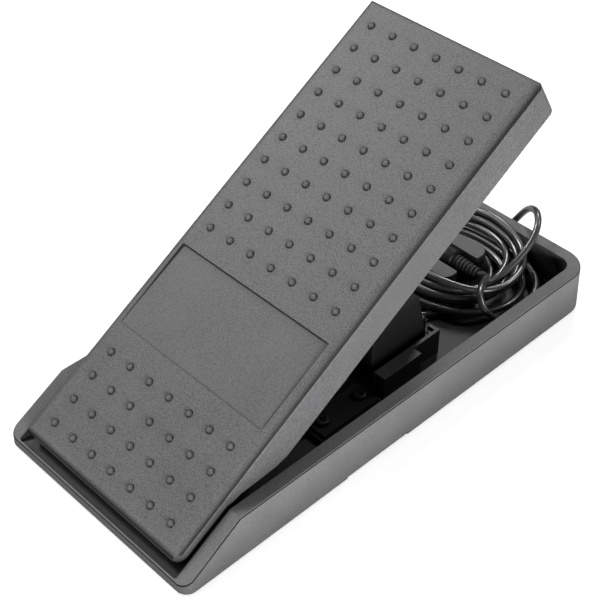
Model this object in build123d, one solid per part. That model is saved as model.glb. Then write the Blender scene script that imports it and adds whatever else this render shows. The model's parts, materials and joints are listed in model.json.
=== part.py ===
from build123d import *
import math
import os

# Rocking foot pedal: a treadle shell on a steel carrier, rocking on a bolt in a
# U-shaped stand, drives a potentiometer through a sector gear and a pinion.
# The tray holds the coiled lead and its stowed phone plug at the toe end.
#
# Working frame: X to the right, Y from heel to toe, Z up from the lower edge of
# the tray wall.  save() moves everything to the exported frame, whose origin is
# the centre of the footprint on the floor, under the rubber feet.
# Treadle frame: the same X, Y up the treadle's slope, Z square to its top face.

# ---------------------------------------------------------- shared dimensions
FOOT_H = 1.5            # feet below the tray's lower edge
Y_CENTRE = 149.0        # centre of the whole footprint, cable loop included
FAR = 60                # reach of cuts that pass right through along X

PIV_Y, PIV_Z = 125.0, 28.0      # pivot axis
TILT = 31.6                     # treadle slope at rest, degrees
ROCK = 28.0                     # swing from rest to toe down, degrees
TOP_Y, TOP_Z = 224.7, 150.2     # treadle frame origin at rest

MODULE = 0.8
SECTOR_TEETH = 98               # on the full circle
PINION_TEETH = 14
SECTOR_R = MODULE * SECTOR_TEETH / 2
PINION_R = MODULE * PINION_TEETH / 2
POT_Y, POT_Z = PIV_Y + SECTOR_R + PINION_R, PIV_Z

PLUG_Y, PLUG_Z = 245.0, 18.2    # plug axis, along X
CABLE_R = 1.95
GROMMET_X, GROMMET_Z = 2.0, 8.6
CLAMP_X, CLAMP_Y = 20.6, 203.0  # screw of the lead clamp
PAD_Z = 8.0                     # top of the stand and bracket pads

# screw places, x and y; the bottom screws add the top of their hole
HOUSING_SCREWS = [(-29, 154.5), (29, 154.5), (-29, 188), (29, 188)]
STAND_SCREWS = [(-38.5, 112), (-38.5, 138), (38.5, 112), (38.5, 138)]
BRACKET_SCREWS = [(18.4, 162), (18.4, 178)]
BOTTOM_SCREWS = [(-50, 70, 8.0), (50, 70, 8.0), (-42.3, 161, 12.0), (42.3, 161, 12.0),
                 (-9, 257.5, 12.0), (-9, 232.5, 12.0)]
CARRIER_SCREWS = [(-17, -190), (17, -190), (-17, -108), (17, -108)]     # treadle frame
SIDES = (-1, 1)                 # left, right


# --------------------------------------------------------------------- helpers
def save(name, shape):
    shape = Pos(0, -Y_CENTRE, FOOT_H) * shape
    shape.label = name
    export_step(shape, f"parts/{name}.step")


def group(items):
    return Compound(children=list(items))


def box(x0, x1, y0, y1, z0, z1):
    return Pos((x0 + x1) / 2, (y0 + y1) / 2, (z0 + z1) / 2) * Box(x1 - x0, y1 - y0, z1 - z0)


def side_box(side, inner, outer, *yz_limits):
    """box between two distances from the centre plane, on one side of it"""
    return box(*sorted((side * inner, side * outer)), *yz_limits)


def rod_z(x, y, z0, z1, r):
    return Pos(x, y, (z0 + z1) / 2) * Cylinder(r, z1 - z0)


def rod_x(x0, x1, y, z, r):
    return Pos((x0 + x1) / 2, y, z) * (Rot(0, 90, 0) * Cylinder(r, x1 - x0))


def rod_y(x, y0, y1, z, r):
    return Pos(x, (y0 + y1) / 2, z) * (Rot(90, 0, 0) * Cylinder(r, y1 - y0))


def pivot_rod(x0, x1, r):
    return rod_x(x0, x1, PIV_Y, PIV_Z, r)


def pot_rod(x0, x1, r):
    return rod_x(x0, x1, POT_Y, POT_Z, r)


def hex_x(x, y, z, r_flat, length):
    """hexagonal bar running to the right from x"""
    bar = extrude(RegularPolygon(r_flat, 6, major_radius=False), amount=length)
    return Pos(x, y, z) * (Rot(0, 90, 0) * bar)


def side_prism(outline, x0, x1):
    """prism of a Y-Z outline between two X positions"""
    face = make_face(Polyline(*outline, close=True))
    return extrude(Plane(origin=(x0, 0, 0), x_dir=(0, 1, 0), z_dir=(1, 0, 0)) * face, amount=x1 - x0)


def plan_prism(outline, radii, z0, z1, taper=0):
    """prism of an X-Y outline, each corner with its own radius"""
    face = make_face(Polyline(*outline, close=True))
    for (x, y), r in zip(outline, radii):
        if r > 0:
            corner = [v for v in face.vertices() if abs(v.X - x) < 1e-3 and abs(v.Y - y) < 1e-3]
            face = fillet(corner, r)
    return extrude(Pos(0, 0, z0) * face, amount=z1 - z0, taper=taper)


def rounded_box(x0, x1, y0, y1, z0, z1, heel_r, toe_r, taper=0):
    """box with rounded upright edges: heel_r at y0, toe_r at y1"""
    outline = [(x0, y0), (x1, y0), (x1, y1), (x0, y1)]
    return plan_prism(outline, [heel_r, heel_r, toe_r, toe_r], z0, z1, taper)


def turned(outline, x, y, z):
    """solid of revolution about an axis along X; outline points are (x, r)"""
    return Pos(x, y, z) * revolve(make_face(Polyline(*outline, close=True)), Axis.X, 360)


def turn(y, z, degrees):
    """Y-Z point turned about the origin"""
    sine, cosine = math.sin(math.radians(degrees)), math.cos(math.radians(degrees))
    return cosine * y - sine * z, sine * y + cosine * z


def arc(y, z, r, angles):
    """Y-Z points on a circle at the given angles in degrees"""
    return [(y + r * math.cos(math.radians(a)), z + r * math.sin(math.radians(a))) for a in angles]


def on_treadle(shape):
    """from the treadle frame to the working frame, treadle at rest"""
    return Pos(0, TOP_Y, TOP_Z) * (Rot(TILT, 0, 0) * shape)


def screw(x, y, z, shank_d, length, head_d, head_h):
    """cross-slotted screw, shank downwards, bearing face of the head at z"""
    shank = rod_z(x, y, z - length, z + 0.01, shank_d / 2)
    head = rod_z(x, y, z, z + head_h, head_d / 2)
    top_edge = [e for e in head.edges() if abs(e.center().Z - z - head_h) < 1e-4]
    head = fillet(top_edge, head_h * 0.45)
    half_w = head_d * 0.065
    reach = head_d * 0.29
    z0, z1 = z + head_h * 0.35, z + head_h + 1
    cross = box(x - reach, x + reach, y - half_w, y + half_w, z0, z1)
    cross += box(x - half_w, x + half_w, y - reach, y + reach, z0, z1)
    return shank + head - cross


def upward_screw(x, y, z, **sizes):
    """the same screw pointing upwards, its head below z"""
    return Pos(x, y, z) * (Rot(180, 0, 0) * screw(0, 0, 0, **sizes))


# pivot in the treadle frame, and the lower ends of the treadle's stop posts
PIV_TY, PIV_TZ = turn(PIV_Y - TOP_Y, PIV_Z - TOP_Z, -TILT)
STOP_DY, STOP_DZ = 43.9, 20.3
STOP_TY, STOP_TZ = PIV_TY + STOP_DY, PIV_TZ + STOP_DZ
_landed = turn(STOP_DY, STOP_DZ, TILT - ROCK)
LANDED_Y, LANDED_Z = PIV_Y + _landed[0], PIV_Z + _landed[1]     # stops with the toe down

# ------------------------------------------------------------------------ tray
LENGTH = 290.0          # heel to toe, at the lower edge
HALF_W = 66.7           # half width at the lower edge
RIM_Z = 25.2            # rim height above the lower edge
DRAFT = 2.2             # degrees, outer walls
DRAFT_IN = 1.0          # allowance for that draft at the rim
WALL = 2.5              # moulded wall thickness
RIM_T = 7.3             # rim width, side walls
CAVITY_HALF = HALF_W - DRAFT_IN - RIM_T
CAVITY_TOE_Y = 281.6
ROOF_T = 2.4            # skin over the wall cores
WEB_TOP = RIM_Z - 1.5
BEND_Y = 34.4           # where the rim turns down into the heel ramp
LIP_Z = 5.0             # heel lip height
LIP_T = 1.2             # heel lip thickness
RAMP_SLOPE = (RIM_Z - LIP_Z) / (BEND_Y - 0.5)
FLOOR_LO, FLOOR_HI = 2.2, 4.2
PLATE_LO = 1.0          # underside of the steel plate
POST_HALF, POST_Z = 16, 20.0    # posts beside the plug: half width and top
PILLAR_TZ = -10.6       # sloped pillar tops, in the treadle frame

# mirrored blocks: inner x, outer x, heel y, toe y, top z
LEDGES_AND_PADS = [
    (40.0, CAVITY_HALF + 0.3, 44, 99, 9.0),     # side ledges in the heel half
    (27.5, 46.0, 104, 146, PAD_Z),              # stand pads
]
FENCE = [
    (38.6, 46.0, 148, 175, 20.0),               # wide block
    (38.5, 40.5, 174.5, 195, 20.0),             # thin wall
    (33.7, 40.5, 193, 195, 20.0),               # short return wall
]


def tray_plan(inset, z0, z1, taper=0.0):
    w = HALF_W - inset
    return rounded_box(-w, w, inset, LENGTH - inset, z0, z1,
                       max(6.0 - inset, 1.5), max(16.5 - inset, 3), taper)


def above_ramp(drop):
    """everything above the rim and heel-ramp surface, lowered by drop"""
    z = RIM_Z - drop
    bend = BEND_Y + drop * math.tan(math.atan(RAMP_SLOPE) / 2)
    ramp_end = (-30, z - RAMP_SLOPE * (bend + 30))
    return side_prism([ramp_end, (bend, z), (400, z), (400, 90), (-30, 90)], -90, 90)


def tray_walls():
    tray = tray_plan(0, 0, RIM_Z + 0.5, DRAFT)
    tray -= above_ramp(0)
    rim_edges = []
    for edge in tray.edges():
        c = edge.center()
        if c.Z > RIM_Z - 0.01 or (c.Y < BEND_Y and c.Z > LIP_Z and abs(c.X) > 50):
            rim_edges.append(edge)
    # guards the rim rounding: if it cannot be built, the rim stays sharp
    try:
        tray = fillet(rim_edges, 0.8)
    except Exception:
        pass
    cavity = rounded_box(-CAVITY_HALF, CAVITY_HALF, LIP_T, CAVITY_TOE_Y, 0, 40, 1.2, 8)
    tray -= cavity - box(-80, 80, -20, 320, -10, FLOOR_HI)
    # core between the outer and inner walls, open below
    core = tray_plan(WALL + 0.6, -1, RIM_Z - ROOF_T)
    core -= above_ramp(ROOF_T)
    inner_w = CAVITY_HALF + WALL
    core -= rounded_box(-inner_w, inner_w, -20, CAVITY_TOE_Y + WALL, -5, 60, 0, 10)
    tray -= core
    # recess for the bottom plate
    tray -= tray_plan(WALL, -1, FLOOR_LO)
    # webs across the cores
    for y in (60, 122, 184, 246):
        for side in SIDES:
            tray += side_box(side, 60, 65.4, y - 1, y + 1, FLOOR_LO, WEB_TOP)
    for x in (-30, 30):
        tray += box(x - 1, x + 1, 283, 288.2, FLOOR_LO, WEB_TOP)
    # shallow finger relief along the lower edge of both sides
    for side in SIDES:
        tray -= side_box(side, 66.1, 70, 101.5, 143.6, -1, 1.7)
    return tray


def base_tray():
    tray = tray_walls()
    for inner, outer, y0, y1, top in LEDGES_AND_PADS:
        for side in SIDES:
            tray += side_box(side, inner, outer, y0, y1, FLOOR_LO, top)
    # heel pillars, tops parallel to the resting treadle
    tops = [turn(ty, PILLAR_TZ, TILT) for ty in (-247, -235)]
    (y0, z0), (y1, z1) = [(TOP_Y + y, TOP_Z + z) for y, z in tops]
    for side in SIDES:
        tray += side_prism([(y0, FLOOR_LO), (y0, z0), (y1, z1), (y1, FLOOR_LO)],
                           *sorted((side * 32.0, side * 44.0)))
    # fence around the mechanism, with a gusset in each toe corner
    for side in SIDES:
        for inner, outer, y0, y1, top in FENCE:
            tray += side_box(side, inner, outer, y0, y1, FLOOR_LO, top)
        gusset = [(side * 38.7, 193.2), (side * 38.7, 188.2), (side * 33.7, 193.2)]
        tray += plan_prism(gusset[::-side], [0, 0, 0], FLOOR_LO, 18.5)
    # two posts with a plug slot between them, and the saddle under the plug
    tray += rounded_box(-POST_HALF, POST_HALF, 253, 262.6, FLOOR_LO, POST_Z, 1.2, 5)
    tray += rounded_box(-POST_HALF, POST_HALF, 227.4, 237, FLOOR_LO, POST_Z, 5, 1.2)
    saddle = box(-POST_HALF, 4, PLUG_Y - 8.5, PLUG_Y + 8.5, FLOOR_LO, 15.0)
    tray += saddle - rod_x(-20, 10, PLUG_Y, PLUG_Z, 6.7)
    # screw lugs: housing, potentiometer bracket, lead clamp
    for x, y in HOUSING_SCREWS:
        tray += rod_z(x, y, FLOOR_LO, 9.0, 4.0)
    for x, y in BRACKET_SCREWS:
        tray += rod_z(x, y, FLOOR_LO, PAD_Z, 4.0)
    tray += rod_z(CLAMP_X, CLAMP_Y, FLOOR_LO, 8.4, 3.0)
    # holes
    for x, y, top in BOTTOM_SCREWS:
        tray -= rod_z(x, y, -1, top, 1.75)
    for places, r in ((STAND_SCREWS, 2.05), (HOUSING_SCREWS, 1.55), (BRACKET_SCREWS, 1.55),
                      ([(CLAMP_X, CLAMP_Y)], 1.55)):
        for x, y in places:
            tray -= rod_z(x, y, 2.6, 12, r)
    tray -= rod_y(GROMMET_X, 275, 300, GROMMET_Z, 4.0)
    return tray


def bottom_plate():
    plate = tray_plan(WALL + 0.3, PLATE_LO, FLOOR_LO)
    for x, y, _ in BOTTOM_SCREWS:
        plate -= rod_z(x, y, 0, 5, 1.9)
    return plate


def bottom_screws():
    return group(upward_screw(x, y, PLATE_LO, shank_d=3.4, length=top - PLATE_LO - 1.5,
                              head_d=6.2, head_h=1.6) for x, y, top in BOTTOM_SCREWS)


FEET = [(-50, 24), (50, 24), (-48, 266), (48, 266)]
FOOT_HALF, FOOT_CORNER_R = 9, 8.9


def rubber_feet():
    feet = []
    for x, y in FEET:
        foot = rounded_box(x - FOOT_HALF, x + FOOT_HALF, y - FOOT_HALF, y + FOOT_HALF,
                           -FOOT_H, PLATE_LO, FOOT_CORNER_R, FOOT_CORNER_R)
        low = [e for e in foot.edges() if e.center().Z < -FOOT_H + 0.01]
        feet.append(chamfer(low, 0.5))
    return group(feet)


# -------------------------------------------------------------- pivot assembly
STAND_TOP = PAD_Z + 2.0
STAND_Y0, STAND_Y1 = 106, 144
EAR_IN, EAR_T = 29.0, 2.0       # stand ears: inner face and thickness
EAR_OUT = EAR_IN + EAR_T
NUT_R_FLAT = 6.5                # half the width across flats, bolt head and nut


def pivot_stand():
    stand = box(-46, 46, STAND_Y0, STAND_Y1, PAD_Z, STAND_TOP)
    stand -= box(-27, 27, 100, 150, 7, 11)
    ear = [(PIV_Y - 20, PAD_Z)]
    ear += arc(PIV_Y, PIV_Z, 10.0, [200 - i * (220 / 12) for i in range(13)])
    ear.append((PIV_Y + 20, PAD_Z))
    for side in SIDES:
        stand += side_prism(ear, *sorted((side * EAR_IN, side * EAR_OUT)))
    # strip joining both halves at the heel end
    stand += box(-EAR_OUT, EAR_OUT, STAND_Y0, 112, PAD_Z, STAND_TOP)
    for x, y in STAND_SCREWS:
        stand -= rod_z(x, y, 5, 12, 2.2)
    return stand - pivot_rod(-FAR, FAR, 4.0)


def stand_screws():
    return group(screw(x, y, STAND_TOP, shank_d=4.0, length=7.2, head_d=7.4, head_h=2.4)
                 for x, y in STAND_SCREWS)


def pivot_bolt():
    """bolt with a dished hexagon head on the right"""
    bolt = pivot_rod(-41.5, EAR_OUT, 3.98)
    bolt += hex_x(EAR_OUT, PIV_Y, PIV_Z, NUT_R_FLAT, 5.0)
    return bolt - pivot_rod(35.2, 37, 4.2)


def friction_washers():
    return group(pivot_rod(x0, x1, 8.5) - pivot_rod(-FAR, FAR, 4.02)
                 for x0, x1 in ((-28.95, -27.35), (27.35, 28.95)))


def spring_washer():
    """conical washer between the left ear and the nut"""
    profile = [(-31.02, 4.1), (-31.02, 5.2), (-33.0, 8.2),
               (-34.0, 8.2), (-34.0, 7.0), (-32.4, 4.1)]
    return turned(profile, 0, PIV_Y, PIV_Z)


def lock_nut():
    return hex_x(-40.6, PIV_Y, PIV_Z, NUT_R_FLAT, 6.58) - pivot_rod(-FAR, 0, 4.0)


# --------------------------------------------------------------------- treadle
T_HALF = 55.0                   # half width at the toe
T_HEEL = 56.0                   # half width at the heel
T_TOE, T_END = 13.9, -261.5     # toe and heel ends at the skirt's lower edge
TOE_LEAN, HEEL_LEAN = 1.2, 2.3  # the end faces lean inwards by this much at the top
SKIRT = 23.0                    # skirt depth
HEEL_SKIRT_Z = -9.2             # lower edge of the skirt at the heel
SHELL_T, SHELL_HEEL_T = 2.6, 2.4        # wall thickness, sides and toe, then heel
PITCH = 14.3                    # grid of the grip domes
HEEL_ROWS_Y = -205.5            # first dome row behind the wedge recess
DOME_R, DOME_H = 2.1, 1.35
EDGE_R, TOE_R, HEEL_R = 4.4, 2.2, 4.6   # rounded upper edges: long sides, toe, heel
PLAN_R_TOE, PLAN_R_HEEL = 4.6, 7.4      # corners seen from above
RECESS_Y0, RECESS_Y1, RECESS_HALF = -191.4, -142.5, 50.2
RIB_TOP = -2.5                  # ribs and bosses run up into the top skin
RIB_HALF_T = 0.9

# lower edge of the skirt, following the tray: (y, z) from toe to heel
SKIRT_LINE = [(T_TOE + 20, -SKIRT - 1.4), (-110.0, -SKIRT), (-193.0, -SKIRT), (-200, -20.9),
              (-207, -17.4), (-214, -13.6), (-219, -10.8), (-224, -9.6),
              (T_END - 20, HEEL_SKIRT_Z)]
# ribs across the treadle: y, half length, lower edge
CROSS_RIBS = [(-20, 53, -12), (-52, 53, -12), (-84, 53, -12),
              (-206, 53, -9.5), (-222, 53.5, -8.0), (-254, 53.5, -8.0)]
# ribs along the treadle: x, heel end, toe end, lower edge
LONG_RIBS = [(-34, T_END + 2, T_TOE - 2, -8.0), (34, T_END + 2, T_TOE - 2, -8.0),
             (0, -92, T_TOE - 2, -10.0), (0, T_END + 2, -206, -8.0)]


def treadle_plan(inset, z0, z1):
    toe_w, heel_w = T_HALF - inset, T_HEEL - inset
    toe_y, heel_y = T_TOE - inset, T_END + inset
    toe_r, heel_r = max(PLAN_R_TOE - inset, 1.0), max(PLAN_R_HEEL - inset, 1.5)
    outline = [(-heel_w, heel_y), (heel_w, heel_y), (toe_w, toe_y), (-toe_w, toe_y)]
    return plan_prism(outline, [heel_r, heel_r, toe_r, toe_r], z0, z1)


def treadle_section(y):
    """cross-section at one station, both upper corners rounded"""
    w = T_HALF + (T_HEEL - T_HALF) * (T_TOE - y) / (T_TOE - T_END)
    face = make_face(Polyline((-w, -40), (w, -40), (w, 0), (-w, 0), close=True))
    face = fillet([v for v in face.vertices() if v.Y > -1], EDGE_R)
    return Plane(origin=(0, y, 0), x_dir=(-1, 0, 0), z_dir=(0, 1, 0)) * face


def treadle_skin():
    """solid outer form with its wedge recess and grip domes, then hollowed from below"""
    body = loft([treadle_section(T_TOE + 5), treadle_section(T_END - 5)], ruled=True)
    body &= treadle_plan(0, -40, 5)
    # side outline with the toe and heel edges rounded off
    side = make_face(Polyline((T_TOE - TOE_LEAN, 0), (T_TOE, -SKIRT), (T_TOE, -60), (T_END, -60),
                              (T_END, HEEL_SKIRT_Z), (T_END + HEEL_LEAN, 0), close=True))
    side = fillet([v for v in side.vertices() if v.Y > -1 and v.X > 0], TOE_R)
    side = fillet([v for v in side.vertices() if v.Y > -1 and v.X < T_END + 3], HEEL_R)
    left = Plane(origin=(-80, 0, 0), x_dir=(0, 1, 0), z_dir=(1, 0, 0))
    body &= extrude(left * side, amount=160)
    body &= side_prism(SKIRT_LINE + [(T_END - 20, 5), (T_TOE + 20, 5)], -80, 80)
    # smooth wedge recess: deepest at its toe-side edge
    wedge = rounded_box(-RECESS_HALF, RECESS_HALF, RECESS_Y0, RECESS_Y1, -3, 3, 1.6, 1.6)
    wedge &= side_prism([(RECESS_Y0 - 2, -0.14), (RECESS_Y1 + 2, -1.0),
                         (RECESS_Y1 + 2, 3), (RECESS_Y0 - 2, 3)], -60, 60)
    body -= wedge
    # grip domes: ten rows at the toe, four at the heel
    sphere_r = (DOME_R ** 2 + DOME_H ** 2) / (2 * DOME_H)
    dome = Pos(0, 0, DOME_H - sphere_r) * Sphere(sphere_r)
    dome &= box(-5, 5, -5, 5, -0.47, 5)
    rows = [-PITCH * i for i in range(10)] + [HEEL_ROWS_Y - PITCH * i for i in range(4)]
    for y in rows:
        for i in range(-3, 4):
            body += Pos(i * PITCH, y, 0) * dome
    hollow = treadle_plan(SHELL_T, -60, -3.0)
    hollow &= side_prism([(T_TOE - TOE_LEAN - SHELL_T, 0), (T_TOE - SHELL_T, -SKIRT),
                          (T_TOE - SHELL_T, -70), (T_END, -70),
                          (T_END + SHELL_HEEL_T, HEEL_SKIRT_Z),
                          (T_END + HEEL_LEAN + SHELL_HEEL_T, 0)], -80, 80)
    return body - hollow


def treadle_shell():
    body = treadle_skin()
    for y, w, low in CROSS_RIBS:
        body += box(-w, w, y - RIB_HALF_T, y + RIB_HALF_T, low, RIB_TOP)
    for x, y0, y1, low in LONG_RIBS:
        body += box(x - RIB_HALF_T, x + RIB_HALF_T, y0, y1, low, RIB_TOP)
    for x, y in CARRIER_SCREWS:
        body += rod_z(x, y, -9.0, RIB_TOP, 4.2)
    # heel pads that land on the bumpers
    for side in SIDES:
        body += side_box(side, 31.0, 45.0, -248, -234, -8.0, RIB_TOP)
    # stop posts, cross-shaped
    for side in SIDES:
        x = side * 34
        body += box(x - 6, x + 6, STOP_TY - 1.2, STOP_TY + 1.2, STOP_TZ, RIB_TOP)
        body += box(x - 1.2, x + 1.2, STOP_TY - 7, STOP_TY + 7, STOP_TZ + 3, RIB_TOP)
    for x, y in CARRIER_SCREWS:
        body -= rod_z(x, y, -12, -4.0, 1.65)
    return on_treadle(body)


# --------------------------------------------------- carrier under the treadle
CAR_TOP, CAR_T = -9.02, 2.0     # top face and sheet thickness, treadle frame
CAR_LOW = CAR_TOP - CAR_T
CAR_FLANGE = CAR_TOP - 7        # lower edge of the flanges at both ends
CAR_HALF = 27.3
CAR_Y0, CAR_Y1 = -200, -98
BUSH_IN, BUSH_R = 23.0, 5.5


def treadle_carrier():
    """steel channel under the shell, ears down to the pivot"""
    web = box(-CAR_HALF, CAR_HALF, CAR_Y0, CAR_Y1, CAR_LOW, CAR_TOP)
    for x in (-12, 12):
        web -= rounded_box(x - 4, x + 4, -178, -120, -20, 0, 3.9, 3.9)
    ear = [(CAR_Y0, CAR_TOP), (CAR_Y0, CAR_FLANGE), (-178, -30)]
    ear += arc(PIV_TY, PIV_TZ, 9.5, range(200, 341, 14))
    ear += [(-133, -30), (-113, CAR_FLANGE), (CAR_Y1, CAR_FLANGE), (CAR_Y1, CAR_TOP)]
    carrier = web
    for side in SIDES:
        carrier += side_prism(ear, *sorted((side * (CAR_HALF - CAR_T), side * CAR_HALF)))
    for x, y in CARRIER_SCREWS:
        carrier -= rod_z(x, y, -20, 0, 1.9)
    carrier -= rod_x(-FAR, FAR, PIV_TY, PIV_TZ, BUSH_R)
    return on_treadle(carrier)


def carrier_screws():
    return on_treadle(group(upward_screw(x, y, CAR_LOW, shank_d=3.2, length=6.6, head_d=6.0,
                                         head_h=2.0) for x, y in CARRIER_SCREWS))


def pivot_bushes():
    """flanged bushes in the carrier ears, running on the bolt"""
    bushes = []
    for side in SIDES:
        x0, x1 = sorted((side * BUSH_IN, side * CAR_HALF))
        flange0, flange1 = sorted((side * BUSH_IN, side * 25.28))
        bush = rod_x(x0, x1, PIV_TY, PIV_TZ, BUSH_R)
        bush += rod_x(flange0, flange1, PIV_TY, PIV_TZ, 8.0)
        bushes.append(bush - rod_x(-FAR, FAR, PIV_TY, PIV_TZ, 4.03))
    return on_treadle(group(bushes))


# ----------------------------------------------------------------------- gears
SECTOR_ADD, SECTOR_DED = 0.60, 1.05     # addendum and dedendum
PINION_ADD, PINION_DED = 0.80, 0.80
THIN = 0.07                     # tooth thinning for backlash
PRESSURE = math.radians(20.0)
FLANK_POINTS = 7
SECTOR_HALF_T = 3.0
HUB_R = 11.0                    # inner ends of the sector's straight sides


def involute(angle):
    return math.tan(angle) - angle


def involute_tooth(teeth, add, ded):
    """one flank from root to tip: list of (radius, half angle)"""
    pitch_r = MODULE * teeth / 2
    base_r = pitch_r * math.cos(PRESSURE)
    tip_r, root_r = pitch_r + add, pitch_r - ded
    base_half = math.pi / (2 * teeth) - THIN / (2 * pitch_r) + involute(PRESSURE)
    start_r = max(base_r, root_r)
    points = []
    if root_r < base_r:
        points.append((root_r, base_half))
    for i in range(FLANK_POINTS):
        r = start_r + (tip_r - start_r) * i / (FLANK_POINTS - 1)
        points.append((r, base_half - involute(math.acos(min(1.0, base_r / r)))))
    return points


def tooth_ring(y, z, teeth, add, ded, centres):
    """Y-Z outline points in order of growing angle, one tooth at each centre angle"""
    flank = involute_tooth(teeth, add, ded)
    polar = []
    for centre in centres:
        polar += [(r, centre - half) for r, half in flank]
        polar += [(r, centre + half) for r, half in reversed(flank)]
    return [(y + r * math.cos(a), z + r * math.sin(a)) for r, a in polar]


def sector_arm():
    """pad under the carrier web with three ribs down to the hub, treadle frame"""
    top = CAR_LOW - 0.02
    y0, y1 = PIV_TY - 12, PIV_TY + 12
    arm = box(-22.0, 22.0, y0, y1, CAR_TOP - 5.0, top)
    arm += box(-SECTOR_HALF_T, SECTOR_HALF_T, y0, y1, PIV_TZ, top)
    rib = [(y0, top), (PIV_TY - 5, PIV_TZ), (PIV_TY + 5, PIV_TZ), (y1, top)]
    for side in SIDES:
        arm += side_prism(rib, side * 14 - 1.2, side * 14 + 1.2)
    return arm


def sector_gear():
    step = 2 * math.pi / SECTOR_TEETH
    centres = [k * step for k in range(-2, 11)]
    low, high = [math.degrees(a) for a in (centres[0] - step / 2, centres[-1] + step / 2)]
    root_r = SECTOR_R - SECTOR_DED
    outline = arc(PIV_Y, PIV_Z, HUB_R, [low]) + arc(PIV_Y, PIV_Z, root_r, [low])
    outline += tooth_ring(PIV_Y, PIV_Z, SECTOR_TEETH, SECTOR_ADD, SECTOR_DED, centres)
    outline += arc(PIV_Y, PIV_Z, root_r, [high]) + arc(PIV_Y, PIV_Z, HUB_R, [high])
    sector = side_prism(outline, -SECTOR_HALF_T, SECTOR_HALF_T)
    window = arc(PIV_Y, PIV_Z, 17.0, range(6, 32, 5))
    window += arc(PIV_Y, PIV_Z, 31.0, range(32, 1, -5))
    sector -= side_prism(window, -9, 9)
    # hub on the bolt and an arm up to the carrier web
    sector += pivot_rod(-BUSH_IN + 0.1, BUSH_IN - 0.1, 7.5)
    sector += pivot_rod(-SECTOR_HALF_T, SECTOR_HALF_T, 12.0)
    sector += on_treadle(sector_arm())
    return sector - pivot_rod(-FAR, FAR, 4.06)


def pot_pinion():
    # turned half a tooth pitch so that a tooth space faces the sector
    centres = [math.pi + math.pi / PINION_TEETH + 2 * math.pi * k / PINION_TEETH
               for k in range(PINION_TEETH)]
    outline = tooth_ring(POT_Y, POT_Z, PINION_TEETH, PINION_ADD, PINION_DED, centres)
    pinion = side_prism(outline, -4.0, 4.0)
    pinion += pot_rod(SHAFT_X0, -4.0, 6.4)
    return pinion - pot_rod(-FAR, FAR, SHAFT_R)


# --------------------------------------------------------------- potentiometer
POT_X = 12.0                    # mounting face
SHAFT_R, SHAFT_X0 = 3.0, -6.5
BUSHING_R = 4.7
NUT_BORE = BUSHING_R + 0.02
BRACKET_T = 1.6                 # bracket sheet
BRACKET_X1 = POT_X - 0.03
BRACKET_X0 = BRACKET_X1 - BRACKET_T
BRACKET_HALF = 13
TAGS_DY = (-5, 0, 5)            # terminals, from the shaft


def pot_case():
    case = pot_rod(POT_X, POT_X + 10.5, 12.0)
    case -= pot_rod(POT_X + 1.2, POT_X + 9.3, 10.6)
    case -= pot_rod(POT_X - 1, POT_X + 3, 3.06)
    # slot for the terminals
    return case - box(POT_X + 2.9, POT_X + 4.7, POT_Y - 6.4, POT_Y + 6.4, POT_Z - 14, POT_Z - 7.5)


def pot_track():
    return pot_rod(POT_X + 1.22, POT_X + 2.4, 10.5) - pot_rod(-FAR, FAR, 3.3)


def pot_terminals():
    tags = []
    for dy in TAGS_DY:
        y = POT_Y + dy
        tag = box(POT_X + 3.1, POT_X + 4.5, y - 0.9, y + 0.9, POT_Z - 16.5, POT_Z - 8.8)
        tags.append(tag - rod_x(-FAR, FAR, y, POT_Z - 15, 0.45))
    return group(tags)


def pot_bushing():
    return pot_rod(POT_X - 7.0, POT_X, BUSHING_R) - pot_rod(-FAR, FAR, 3.05)


def pot_washer():
    return pot_rod(BRACKET_X0 - 0.62, BRACKET_X0 - 0.02, 7.0) - pot_rod(-FAR, FAR, NUT_BORE)


def pot_nut():
    return hex_x(BRACKET_X0 - 2.9, POT_Y, POT_Z, 6.3, 2.25) - pot_rod(-FAR, FAR, NUT_BORE)


def pot_shaft():
    """shaft with a flat at its left end"""
    shaft = pot_rod(SHAFT_X0, POT_X + 8.2, SHAFT_R)
    return shaft - box(-7, -5.0, POT_Y - 4, POT_Y + 4, POT_Z + 1.5, POT_Z + 4)


def pot_wiper():
    """disc on the inner end of the shaft, with one block facing the track"""
    wiper = pot_rod(POT_X + 3.6, POT_X + 6.4, 8.6) - pot_rod(-FAR, FAR, SHAFT_R)
    wiper += box(POT_X + 2.6, POT_X + 3.7, POT_Y - 1.2, POT_Y + 1.2, POT_Z + 5.5, POT_Z + 8.2)
    return wiper


def pot_bracket():
    y0, y1 = POT_Y - BRACKET_HALF, POT_Y + BRACKET_HALF
    bracket = side_prism([(y0, PAD_Z), (y0, POT_Z + 5), (POT_Y - 7, POT_Z + 12),
                          (POT_Y + 7, POT_Z + 12), (y1, POT_Z + 5), (y1, PAD_Z)],
                         BRACKET_X0, BRACKET_X1)
    bracket += box(BRACKET_X0, 21.5, y0, y1, PAD_Z, PAD_Z + BRACKET_T)
    bracket -= pot_rod(-FAR, FAR, 4.75)
    for x, y in BRACKET_SCREWS:
        bracket -= rod_z(x, y, 6, 12, 1.9)
    return bracket


def bracket_screws():
    return group(screw(x, y, PAD_Z + BRACKET_T, shank_d=3.0, length=6.2, head_d=5.4, head_h=1.8)
                 for x, y in BRACKET_SCREWS)


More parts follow.
